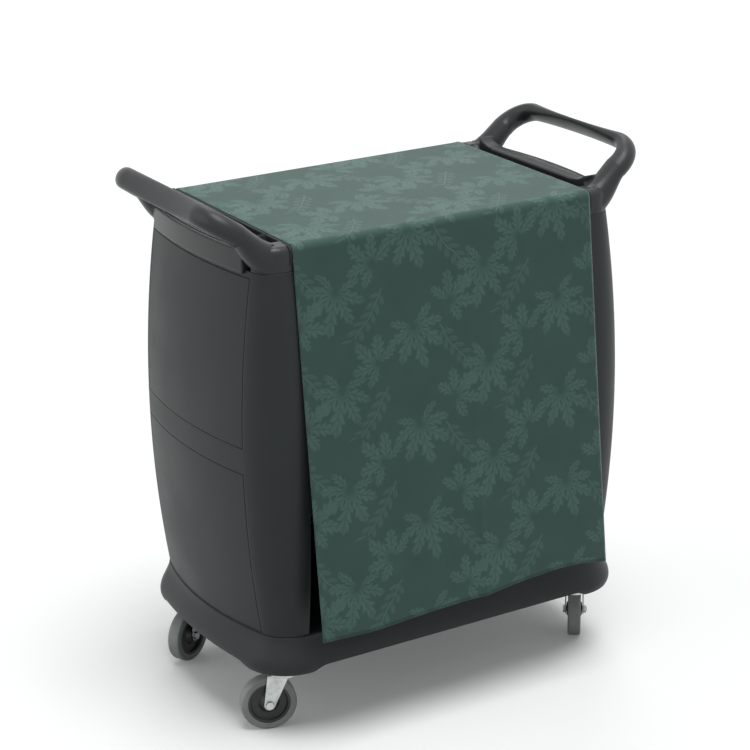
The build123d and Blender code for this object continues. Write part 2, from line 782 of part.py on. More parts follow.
with BuildPart() as balls:
    with Locations((0, 0, ball_level)):
        with PolarLocations(ball_ring_radius, ball_count):
            Sphere(ball_radius)

with BuildPart() as fork:
    with BuildSketch(Plane.XZ.offset(leg_y)):
        with BuildLine():
            Line((-leg_lead, fork_bend_level), (trail + leg_lag, fork_bend_level))
            CenterArc((trail, wheel_radius), fork_foot_radius, 0, 360)
        make_hull()
    extrude(amount=fork_sheet)
    mirror(about=Plane.XZ)
    with BuildSketch(Plane.XY.offset(fork_crown_level)):
        with Locations((-leg_lead, 0)):
            Rectangle(leg_lead + trail + leg_lag, 2 * (leg_y + fork_sheet), align=(Align.MIN, Align.CENTER))
        Circle(fork_crown_radius)
    extrude(amount=fork_crown)
    fillet(fork.edges().filter_by(Axis.X).group_by(Axis.Z)[-1], fork_bend)
    with BuildSketch(Plane.XY.offset(crown_top)):
        Circle(fork_crown_radius)
        Circle(fork_crown_radius - race_wall, mode=Mode.SUBTRACT)
    extrude(amount=race_height)
    with Locations((0, 0, fork_crown_level)):
        Cylinder(kingpin_radius + turning_play, 4 * fork_crown, mode=Mode.SUBTRACT)
    with Locations((trail, 0, wheel_radius)):
        Cylinder(axle_radius + held_play, 4 * leg_y, rotation=(90, 0, 0), mode=Mode.SUBTRACT)

wheel_plane = Plane(origin=(trail, 0, wheel_radius), x_dir=(0, 1, 0), z_dir=(1, 0, 0))
wheel_axis = Axis((trail, 0, wheel_radius), (0, 1, 0))
hub_bore = bush_radius + turning_play
hub_half = fork_gap / 2 - hub_side_play
tread_half = tread_width / 2

hub_rim_foot = hub_radius - hub_rim
tyre_foot = hub_radius + tyre_flank

with BuildPart() as hub:
    with BuildSketch(wheel_plane):
        with BuildLine():
            Polyline(
                (0, hub_bore), (hub_half, hub_bore), (hub_half, hub_boss_radius),
                (hub_web_half, hub_boss_radius + hub_web_half), (hub_web_half, hub_rim_foot),
                (hub_rim_half, hub_rim_foot + hub_rim_slope), (hub_rim_half, hub_radius), (0, hub_radius),
                close=True,
            )
        make_face()
        mirror(about=Plane.YZ)
    revolve(axis=wheel_axis)

with BuildPart() as tyre:
    with BuildSketch(wheel_plane) as tyre_section:
        with BuildLine():
            Polyline(
                (-hub_rim_half, hub_radius), (-tread_half, tyre_foot), (-tread_half, wheel_radius),
                (tread_half, wheel_radius), (tread_half, tyre_foot), (hub_rim_half, hub_radius), close=True,
            )
        make_face()
        fillet(tyre_section.vertices().group_by(Axis.Y)[-1], tyre_shoulder)
    revolve(axis=wheel_axis)

with BuildPart() as axle_bush:
    with Locations((trail, 0, wheel_radius)):
        Cylinder(bush_radius, fork_gap - 2 * held_play, rotation=(90, 0, 0))
        Cylinder(axle_radius + held_play, fork_gap, rotation=(90, 0, 0), mode=Mode.SUBTRACT)

fork_face = leg_y + fork_sheet

with BuildPart() as axle_bolt:
    with Locations((trail, fork_face, wheel_radius)):
        Cylinder(
            axle_radius, 2 * fork_face + axle_nut_height + axle_tail, rotation=(90, 0, 0),
            align=(Align.CENTER, Align.CENTER, Align.MIN),
        )
    with BuildSketch(Plane(origin=(trail, fork_face, wheel_radius), x_dir=(1, 0, 0), z_dir=(0, 1, 0))):
        RegularPolygon(axle_head_across / 2, 6, major_radius=False)
    extrude(amount=axle_head)
    chamfer(axle_bolt.faces().sort_by(Axis.Y)[0].edges(), axle_tip_chamfer)

with BuildPart() as axle_nut:
    with BuildSketch(Plane(origin=(trail, -fork_face, wheel_radius), x_dir=(1, 0, 0), z_dir=(0, -1, 0))):
        RegularPolygon(axle_head_across / 2, 6, major_radius=False)
        Circle(axle_radius + held_play, mode=Mode.SUBTRACT)
    extrude(amount=axle_nut_height)


def at_corner(piece, corner, heading):
    """A caster piece carried to one corner of the base and turned to a heading."""
    x, y = corners[corner]
    with BuildPart() as placed:
        with Locations(Location((x, y, 0), (0, 0, heading))):
            add(piece)
    return placed.part


def upright_screw(level, length):
    """Screw standing on its head at the origin's height level, pointing up."""
    with BuildPart() as screw:
        with Locations((0, 0, level)):
            Cylinder(screw_head_radius, screw_head, align=(Align.CENTER, Align.CENTER, Align.MAX))
            Cylinder(screw_radius, length, align=(Align.CENTER, Align.CENTER, Align.MIN))
        fillet(screw.faces().sort_by(Axis.Z)[0].edges(), screw_head_round)
    return screw.part


# Fasteners
with BuildPart() as caster_bolt:
    with BuildSketch(Plane.XY.offset(plate_level)):
        RegularPolygon(caster_head_across / 2, 6, major_radius=False)
    extrude(amount=-caster_head)
    with Locations((0, 0, plate_level)):
        Cylinder(caster_bolt_radius, caster_bolt_length, align=(Align.CENTER, Align.CENTER, Align.MIN))

with BuildPart() as caster_bolts:
    with Locations(bolt_places):
        add(caster_bolt.part)

with BuildPart() as caster_inserts:
    with Locations([(x, y, mount_level) for x, y in bolt_places]):
        Cylinder(insert_radius, insert_length, align=(Align.CENTER, Align.CENTER, Align.MIN))
        Cylinder(caster_bolt_radius + held_play, 3 * insert_length, mode=Mode.SUBTRACT)

with BuildPart() as shelf_screws:
    with Locations(middle_screw_places):
        add(upright_screw(middle_foot - ledge_height, ledge_height + screw_bite))
    with Locations(top_screw_places):
        add(upright_screw(cap_level, ledge_height + screw_bite))

with BuildPart() as foot_screws:
    with Locations([(side * foot_screw_x, y) for side in (-1, 1) for y in foot_screw_y]):
        add(upright_screw(shoulder_underside, base_deck + screw_bite))

with BuildPart() as handle_screws:
    with Locations(
        [Location((recess_x, y, plug_screw_level), (0, 90, 0)) for y in plug_screw_y]
        + [Location((-recess_x, y, plug_screw_level), (0, -90, 0)) for y in plug_screw_y]
    ):
        add(upright_screw(0, frame_wall + plug_play + plug_thickness - held_play))

# Tablecloth: one sheet over the top shelf, hanging over both long sides and lower at the back
cloth_centre = (cap_half_width - top_edge_round, deck_level - top_edge_round)


def cloth_side(radius, hem_level):
    """Points of a hanging side at this radius about the shelf's rounded edge, from the top to its hem."""
    out, drop = cloth_hem_y - cloth_centre[0], cloth_centre[1] - hem_level
    inner_radius = top_edge_round + cloth_gap
    lean = atan2(out, drop) - asin(inner_radius / hypot(out, drop))
    hem = (
        cloth_hem_y + (radius - inner_radius) * cos(lean),
        hem_level + (radius - inner_radius) * sin(lean),
    )
    tangent = (cloth_centre[0] + radius * cos(lean), cloth_centre[1] + radius * sin(lean))
    halfway = (lean + radians(90)) / 2
    bend = (cloth_centre[0] + radius * cos(halfway), cloth_centre[1] + radius * sin(halfway))
    crest = (cloth_centre[0], cloth_centre[1] + radius)
    return crest, bend, tangent, hem


with BuildPart() as tablecloth:
    with BuildSketch(Plane.YZ):
        with BuildLine():
            hems = []
            for radius in (top_edge_round + cloth_gap, top_edge_round + cloth_gap + cloth_thickness):
                front = [flip(point, -1) for point in cloth_side(radius, cloth_front_level)]
                back = cloth_side(radius, cloth_back_level)
                for crest, bend, tangent, hem in (front, back):
                    ThreePointArc(crest, bend, tangent)
                    Line(tangent, hem)
                Line(front[0], back[0])
                hems.append((front[-1], back[-1]))
            Line(hems[0][0], hems[1][0])
            Line(hems[0][1], hems[1][1])
        make_face()
    extrude(amount=cloth_half_length, both=True)

# Finished pieces
pieces = {
    "base_shelf": base_shelf.part,
    "middle_shelf": middle_shelf.part,
    "top_shelf": top_shelf.part,
    "tablecloth": tablecloth.part,
    "right_end_frame": right_end_frame.part,
    "right_upper_panel": end_panel(upper_field),
    "right_lower_panel": end_panel(lower_field),
    "right_handle": right_handle.part,
    "caster_bolts": caster_bolts.part,
    "caster_inserts": caster_inserts.part,
    "shelf_screws": shelf_screws.part,
    "foot_screws": foot_screws.part,
    "handle_screws": handle_screws.part,
}
for name in ("end_frame", "upper_panel", "lower_panel", "handle"):
    with BuildPart() as left_piece:
        mirror(pieces["right_" + name], about=Plane.YZ)
    pieces["left_" + name] = left_piece.part
fixed_pieces = {"plate": plate.part, "kingpin": kingpin.part}
turning_pieces = {
    "balls": balls.part,
    "fork": fork.part,
    "hub": hub.part,
    "tyre": tyre.part,
    "axle_bush": axle_bush.part,
    "axle_bolt": axle_bolt.part,
    "axle_nut": axle_nut.part,
}
for corner, heading in headings.items():
    for name, piece in fixed_pieces.items():
        pieces[f"{corner}_{name}"] = at_corner(piece, corner, 0)
    for name, piece in turning_pieces.items():
        pieces[f"{corner}_{name}"] = at_corner(piece, corner, heading)

for name, piece in pieces.items():
    piece.label = name
    export_step(piece, f"parts/{name}.step")
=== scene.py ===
"""Looks of the service cart: draped damask cloth, moulded ends, casters, studio and camera."""

import logging
import math
from dataclasses import dataclass
from enum import Enum

import bpy
import numpy as np
from mathutils import Matrix


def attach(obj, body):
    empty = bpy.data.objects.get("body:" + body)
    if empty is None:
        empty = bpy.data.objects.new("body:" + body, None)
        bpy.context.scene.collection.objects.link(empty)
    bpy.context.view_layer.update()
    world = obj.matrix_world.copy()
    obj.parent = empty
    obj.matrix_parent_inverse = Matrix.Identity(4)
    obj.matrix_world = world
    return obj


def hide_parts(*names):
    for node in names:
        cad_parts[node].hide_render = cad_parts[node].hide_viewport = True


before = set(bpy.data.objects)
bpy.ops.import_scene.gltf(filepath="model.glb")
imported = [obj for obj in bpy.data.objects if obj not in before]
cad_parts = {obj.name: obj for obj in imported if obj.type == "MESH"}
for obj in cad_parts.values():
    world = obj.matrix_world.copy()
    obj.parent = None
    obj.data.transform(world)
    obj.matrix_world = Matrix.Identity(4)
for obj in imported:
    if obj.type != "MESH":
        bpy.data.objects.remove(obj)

LOG = logging.getLogger("cart")

Colour = tuple[float, float, float]
Socket = bpy.types.NodeSocket


class Slot(Enum):
    """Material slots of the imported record."""

    GRAPHITE = "graphite_plastic"
    CLOTH = "green_cloth"
    ZINC = "zinc_steel"
    BALL = "ball_steel"
    BRASS = "brass"
    HUB = "black_plastic"
    TREAD = "grey_rubber"


class Direction(Enum):
    """Way in which the fine marks of a finish run, as a stretch of its texture along X, Y and Z."""

    EVEN = (1.0, 1.0, 1.0)
    TURNED = (1.0, 1.0, 0.1)


class Graph:
    """A node tree with short calls that add nodes and link them."""

    def __init__(self, tree: bpy.types.NodeTree) -> None:
        """Keeps the tree and empties it."""
        self.tree = tree
        self.tree.nodes.clear()

    def feed(self, socket: Socket, value: object) -> None:
        """Links the value if it is a socket, and otherwise sets it."""
        if isinstance(value, Socket):
            self.tree.links.new(value, socket)
        else:
            socket.default_value = value

    def add(
        self, kind: str, inputs: dict[str | int, object] | None = None, **settings: object
    ) -> bpy.types.Node:
        """Adds one node.

        Args:
            kind: type name of the node.
            inputs: value or socket for each named or numbered input.
            settings: the node's own properties.

        Returns:
            The new node.
        """
        node = self.tree.nodes.new(kind)
        for name, value in settings.items():
            setattr(node, name, value)
        for name, value in (inputs or {}).items():
            self.feed(node.inputs[name], value)
        return node

    def math(self, operation: str, *values: object, clamp: bool = False) -> Socket:
        """Adds a Math node and returns its value."""
        inputs = dict(enumerate(values))
        return self.add("ShaderNodeMath", inputs, operation=operation, use_clamp=clamp).outputs[0]

    def rise(self, value: Socket, low: float, high: float) -> Socket:
        """Smooth step of the value from 0 at low to 1 at high."""
        ends = {"Value": value, "From Min": low, "From Max": high}
        return self.add("ShaderNodeMapRange", ends, interpolation_type="SMOOTHSTEP").outputs[0]

    def mix(self, share: object, first: object, second: object) -> Socket:
        """Colour between first and second."""
        inputs = {0: share, 6: first, 7: second}
        return self.add("ShaderNodeMix", inputs, data_type="RGBA").outputs[2]

    def noise(self, place: object, scale: object, detail: float = 2.0) -> Socket:
        """Noise value at a place."""
        inputs = {"Vector": place, "Scale": scale, "Detail": detail}
        return self.add("ShaderNodeTexNoise", inputs).outputs[0]

    def parts(self, vector: Socket) -> tuple[Socket, Socket, Socket]:
        """X, Y and Z of a vector."""
        split = self.add("ShaderNodeSeparateXYZ", {0: vector})
        return split.outputs[0], split.outputs[1], split.outputs[2]

    def joined(self, x: object, y: object) -> Socket:
        """Vector of x and y with Z at zero."""
        return self.add("ShaderNodeCombineXYZ", {0: x, 1: y}).outputs[0]

    def place(self, group: bpy.types.NodeTree, **inputs: object) -> bpy.types.Node:
        """Places a node group and feeds its named inputs, an underscore standing for a space."""
        node = self.add("ShaderNodeGroup", node_tree=group)
        for name, value in inputs.items():
            self.feed(node.inputs[name.replace("_", " ")], value)
        return node


class GroupMaker(Graph):
    """A shader node group under construction."""

    def __init__(self, name: str, inputs: dict[str, float | None], outputs: dict[str, str]) -> None:
        """Makes the group and its sockets.

        Args:
            name: the group's name.
            inputs: each input's default number, or None for a vector.
            outputs: each output's kind, Float, Color or Vector.
        """
        super().__init__(bpy.data.node_groups.new(name, "ShaderNodeTree"))
        for label, default in inputs.items():
            kind = "NodeSocketVector" if default is None else "NodeSocketFloat"
            socket = self.tree.interface.new_socket(label, in_out="INPUT", socket_type=kind)
            if default is not None:
                socket.default_value = default
        for label, kind in outputs.items():
            self.tree.interface.new_socket(label, in_out="OUTPUT", socket_type="NodeSocket" + kind)
        self.given = self.add("NodeGroupInput").outputs
        self.result = self.add("NodeGroupOutput")

    def close(self, **outputs: Socket) -> bpy.types.NodeTree:
        """Links the outputs and returns the finished group."""
        for name, value in outputs.items():
            self.feed(self.result.inputs[name.replace("_", " ")], value)
        return self.tree


class Effects:
    """Shader node groups that the finishes share, each built once."""

    def __init__(self) -> None:
        """Builds every group."""
        self.grain = self._grain()
        self.wear = self._wear()
        self.dust = self._dust()
        # Painted shade: darkens corners and recesses by ambient occlusion, broken up by noise.
        self.grime = self._corner_shade()
        self.weave = self._weave()
        self.leaf = self._leaf()
        self.spray = self._spray()
        self.sprig = self._sprig()

    def _grain(self) -> bpy.types.NodeTree:
        """Fine height and broad tint: two noises of the same place, one fine and one broad.

        Returns:
            The node group.
        """
        group = GroupMaker(
            "Fine grain",
            {"Position": None, "Fine scale": 1500.0, "Patch scale": 9.0},
            {"Height": "Float", "Tint": "Float"},
        )
        place = group.given["Position"]
        fine = group.noise(place, group.given["Fine scale"])
        broad = group.noise(place, group.given["Patch scale"], detail=4.0)
        return group.close(Height=fine, Tint=group.rise(broad, low=0.3, high=0.7))

    def _wear(self) -> bpy.types.NodeTree:
        """Rounded normal, and a mask where it leaves the flat one, broken up by noise.

        Returns:
            The node group.
        """
        group = GroupMaker(
            "Edge wear",
            {"Position": None, "Radius": 0.002},
            {"Mask": "Float", "Normal": "Vector"},
        )
        rounded = group.add("ShaderNodeBevel", {"Radius": group.given["Radius"]}, samples=6).outputs[0]
        flat = group.add("ShaderNodeNewGeometry").outputs["Normal"]
        compared = group.add("ShaderNodeVectorMath", {0: rounded, 1: flat}, operation="DOT_PRODUCT")
        edge = group.rise(group.math("SUBTRACT", 1.0, compared.outputs["Value"]), low=0.02, high=0.25)
        scuffs = group.noise(group.given["Position"], scale=60.0, detail=5.0)
        broken = group.rise(scuffs, low=0.35, high=0.65)
        return group.close(Mask=group.math("MULTIPLY", edge, broken), Normal=rounded)

    def _dust(self) -> bpy.types.NodeTree:
        """Mask of settled dust: how far the surface faces up, times noise.

        Returns:
            The node group.
        """
        group = GroupMaker("Settled dust", {"Position": None}, {"Mask": "Float"})
        upward = group.parts(group.add("ShaderNodeNewGeometry").outputs["Normal"])[2]
        specks = group.noise(group.given["Position"], scale=35.0, detail=6.0)
        patches = group.rise(specks, low=0.4, high=0.75)
        return group.close(Mask=group.math("MULTIPLY", group.rise(upward, low=0.3, high=1.0), patches))

    def _corner_shade(self) -> bpy.types.NodeTree:
        """Mask of painted shade in corners: how much of the near surroundings is closed off, times noise.

        Returns:
            The node group.
        """
        group = GroupMaker("Painted corner shade", {"Position": None, "Reach": 0.006}, {"Mask": "Float"})
        openness = group.add("ShaderNodeAmbientOcclusion", {"Distance": group.given["Reach"]}, samples=8)
        closed = group.rise(group.math("SUBTRACT", 1.0, openness.outputs["AO"]), low=0.1, high=0.6)
        specks = group.noise(group.given["Position"], scale=90.0, detail=3.0)
        broken = group.math("MULTIPLY_ADD", specks, 0.6, 0.6, clamp=True)
        return group.close(Mask=group.math("MULTIPLY", closed, broken))

    def _weave(self) -> bpy.types.NodeTree:
        """Height of a plain weave: (1 + sin(k x) sin(k y)) / 2, k being 2 pi over the thread pitch.

        Returns:
            The node group.
        """
        group = GroupMaker("Plain weave", {"Place": None, "Pitch": 0.0006}, {"Height": "Float"})
        x, y, _ = group.parts(group.given["Place"])
        turn = group.math("DIVIDE", 2 * math.pi, group.given["Pitch"])
        warp = group.math("SINE", group.math("MULTIPLY", x, turn))
        weft = group.math("SINE", group.math("MULTIPLY", y, turn))
        return group.close(Height=group.math("MULTIPLY_ADD", group.math("MULTIPLY", warp, weft), 0.5, 0.5))

    def _leaf(self) -> bpy.types.NodeTree:
        """Mask of one lobed leaf from the origin along X.

        With t = x / Length, its half width is Width 2.4 t (1 - t)^0.8 (1 + Teeth (fract(4.5 t) - 0.5)).
        The midrib is left out, slanted side veins run off it and fine streaks follow its length.

        Returns:
            The node group.
        """
        fullness, taper, lobes, slant_rate = 2.4, 0.8, 4.5, 1.3
        group = GroupMaker(
            "Lobed leaf",
            {"Place": None, "Length": 0.05, "Width": 0.012, "Teeth": 0.5},
            {"Mask": "Float"},
        )
        x, y, _ = group.parts(group.given["Place"])
        along = group.math("DIVIDE", x, group.given["Length"])
        inside = group.math("MAXIMUM", along, 0.0)
        left = group.math("MAXIMUM", group.math("SUBTRACT", 1.0, inside), 0.0)
        swell = group.math("MULTIPLY", inside, fullness)
        body = group.math("MULTIPLY", swell, group.math("POWER", left, taper))
        number = group.math("MULTIPLY", along, lobes)
        lobe = group.math("SUBTRACT", group.math("FRACT", number), 0.5)
        lobed = group.math("MULTIPLY_ADD", lobe, group.given["Teeth"], 1.0)
        half = group.math("MULTIPLY", group.math("MULTIPLY", body, lobed), group.given["Width"])
        across = group.math("ABSOLUTE", y)
        fill = group.rise(group.math("SUBTRACT", half, across), low=-0.0004, high=0.0022)
        midrib = group.math("MULTIPLY_ADD", group.rise(across, low=0.0002, high=0.0014), 0.85, 0.15)
        reach = group.math("MULTIPLY", group.math("DIVIDE", across, group.given["Width"]), slant_rate)
        slant = group.math("FRACT", group.math("SUBTRACT", number, reach))
        vein = group.math("ABSOLUTE", group.math("SUBTRACT", slant, 0.5))
        veins = group.math("MULTIPLY_ADD", group.rise(vein, low=0.02, high=0.2), 0.5, 0.5)
        lengthwise = {"Vector": group.given["Place"], "Scale": (0.15, 1.0, 1.0)}
        threads = group.noise(group.add("ShaderNodeMapping", lengthwise).outputs[0], scale=520.0)
        streaks = group.math("MULTIPLY_ADD", group.rise(threads, low=0.35, high=0.65), 0.3, 0.7)
        ribs = group.math("MULTIPLY", midrib, veins)
        return group.close(Mask=group.math("MULTIPLY", group.math("MULTIPLY", fill, ribs), streaks))

    def _spray(self) -> bpy.types.NodeTree:
        """Hand of leaves about the origin.

        The angle is folded into Count sectors, numbered n from the middle one. Leaves up to n = Reach are
        kept and each is (1 - 0.13 |n|) of the length, so the middle one is the longest.

        Returns:
            The node group.
        """
        shrink, root_gap = 0.13, 0.003
        group = GroupMaker(
            "Leaf hand",
            {"Place": None, "Count": 9.0, "Reach": 3.0, "Length": 0.07, "Width": 0.014},
            {"Mask": "Float"},
        )
        x, y, _ = group.parts(group.given["Place"])
        squares = group.math("ADD", group.math("MULTIPLY", x, x), group.math("MULTIPLY", y, y))
        radius = group.math("SQRT", squares)
        sector = group.math("DIVIDE", 2 * math.pi, group.given["Count"])
        position = group.math("DIVIDE", group.math("ARCTAN2", y, x), sector)
        number = group.math("ROUND", position)
        rank = group.math("ABSOLUTE", number)
        folded = group.math("MULTIPLY", group.math("SUBTRACT", position, number), sector)
        kept = group.math("LESS_THAN", rank, group.math("ADD", group.given["Reach"], 0.5))
        share = group.math("MULTIPLY_ADD", rank, -shrink, 1.0)
        place = group.joined(
            group.math("SUBTRACT", group.math("MULTIPLY", radius, group.math("COSINE", folded)), root_gap),
            group.math("MULTIPLY", radius, group.math("SINE", folded)),
        )
        leaf = group.place(
            self.leaf,
            Place=place,
            Length=group.math("MULTIPLY", group.given["Length"], share),
            Width=group.math("MULTIPLY", group.given["Width"], share),
            Teeth=0.7,
        )
        return group.close(Mask=group.math("MULTIPLY", leaf.outputs[0], kept))

    def _sprig(self) -> bpy.types.NodeTree:
        """Curved stem with paired leaflets: x modulo the pitch, |y - c x^2| folded, turned by 38 degrees.

        Returns:
            The node group.
        """
        angle, soft_end, stem_half, stem_edge, leaflet_share = math.radians(38), 0.001, 0.0012, 0.0004, 0.36
        group = GroupMaker(
            "Leafy sprig",
            {"Place": None, "Pitch": 0.017, "Length": 0.1, "Leaflet": 0.028, "Bend": 2.2},
            {"Mask": "Float"},
        )
        x, y, _ = group.parts(group.given["Place"])
        curve = group.math("MULTIPLY", group.math("MULTIPLY", x, x), group.given["Bend"])
        across = group.math("ABSOLUTE", group.math("SUBTRACT", y, curve))
        stem = group.rise(group.math("SUBTRACT", stem_half, across), -stem_edge, stem_edge)
        start = group.rise(x, 0.0, soft_end)
        end = group.rise(group.math("SUBTRACT", group.given["Length"], x), 0.0, soft_end)
        on_stem = group.math("MULTIPLY", start, end)
        slope_cos, slope_sin = math.cos(angle), math.sin(angle)
        foot = group.math("SUBTRACT", x, group.math("MULTIPLY", across, slope_cos / slope_sin))
        number = group.math("FLOOR", group.math("DIVIDE", foot, group.given["Pitch"]))
        middle = group.math("MULTIPLY", group.math("ADD", number, 0.5), group.given["Pitch"])
        local = group.math("SUBTRACT", foot, middle)
        outward = group.math("DIVIDE", across, slope_sin)
        leaf = group.place(
            self.leaf,
            Place=group.joined(
                group.math("ADD", outward, group.math("MULTIPLY", local, slope_cos)),
                group.math("MULTIPLY", local, slope_sin),
            ),
            Length=group.given["Leaflet"],
            Width=group.math("MULTIPLY", group.given["Pitch"], leaflet_share),
            Teeth=0.15,
        )
        rooted = group.math(
            "MULTIPLY",
            group.rise(foot, 0.0, soft_end),
            group.rise(group.math("SUBTRACT", group.given["Length"], foot), 0.0, soft_end),
        )
        leaflets = group.math("MULTIPLY", leaf.outputs[0], rooted)
        return group.close(Mask=group.math("MAXIMUM", group.math("MULTIPLY", stem, on_stem), leaflets))


@dataclass(frozen=True)
class HardFinish:
    """A moulded, plated or rubber surface with grain, patches, rubbed edges, settled dust and painted shade
    in corners.
    """

    slot: Slot
    dark: Colour
    light: Colour
    rubbed: Colour
    roughness: float
    roughness_spread: float
    metallic: float = 0.0
    specular: float = 0.5
    grain_scale: float = 1500.0
    grain_depth: float = 0.00012
    grain_strength: float = 0.3
    patch_scale: float = 9.0
    marks: Direction = Direction.EVEN
    edge_radius: float = 0.0015
    edge_share: float = 0.5
    dust_colour: Colour = (0.2, 0.2, 0.19)
    dust_share: float = 0.08
    # Painted shade in corners: its colour, how far it looks for nearby surfaces and how strongly it darkens.
    corner_shade_colour: Colour = (0.02, 0.02, 0.019)
    corner_shade_reach: float = 0.006
    corner_shade_share: float = 0.45

    def build(self, effects: Effects) -> bpy.types.Material:
        """Makes the material.

        Args:
            effects: the shared node groups.

        Returns:
            The material, named after its slot.
        """
        material = bpy.data.materials.new("finish_" + self.slot.value)
        material.use_nodes = True
        graph = Graph(material.node_tree)
        place = graph.add("ShaderNodeTexCoord").outputs["Object"]
        stretched = graph.add("ShaderNodeMapping", {"Vector": place, "Scale": self.marks.value}).outputs[0]
        grain = graph.place(
            effects.grain, Position=stretched, Fine_scale=self.grain_scale, Patch_scale=self.patch_scale
        )
        wear = graph.place(effects.wear, Position=place, Radius=self.edge_radius)
        dust = graph.place(effects.dust, Position=place)
        grime = graph.place(effects.grime, Position=place, Reach=self.corner_shade_reach)
        worn = graph.math("MULTIPLY", wear.outputs["Mask"], self.edge_share)
        shaded_corners = graph.math("MULTIPLY", grime.outputs["Mask"], self.corner_shade_share)
        dusty = graph.math("MULTIPLY", dust.outputs["Mask"], self.dust_share)
        colour = graph.mix(grain.outputs["Tint"], (*self.dark, 1.0), (*self.light, 1.0))
        colour = graph.mix(worn, colour, (*self.rubbed, 1.0))
        colour = graph.mix(dusty, colour, (*self.dust_colour, 1.0))
        # Painted shade: the colour goes darker in corners and recesses.
        colour = graph.mix(shaded_corners, colour, (*self.corner_shade_colour, 1.0))
        rough = graph.math("MULTIPLY_ADD", grain.outputs["Tint"], self.roughness_spread, self.roughness)
        rough = graph.math("SUBTRACT", rough, graph.math("MULTIPLY", worn, 0.12))
        rough = graph.math("MULTIPLY_ADD", dusty, 0.8, rough, clamp=True)
        bump = graph.add(
            "ShaderNodeBump",
            {
                "Strength": self.grain_strength,
                "Distance": self.grain_depth,
                "Height": grain.outputs["Height"],
                "Normal": wear.outputs["Normal"],
            },
        )
        shader = graph.add(
            "ShaderNodeBsdfPrincipled",
            {
                "Base Color": colour,
                "Roughness": rough,
                "Metallic": self.metallic,
                "Specular IOR Level": self.specular,
                "Normal": bump.outputs[0],
            },
        )
        graph.add("ShaderNodeOutputMaterial", {"Surface": shader.outputs[0]})
        return material


@dataclass(frozen=True)
class Motif:
    """One motif of the woven pattern, its size and how its repeat lies."""

    length: float
    width: float
    shift: tuple[float, float]
    turn: float
    count: float = 9.0
    reach: float = 3.0


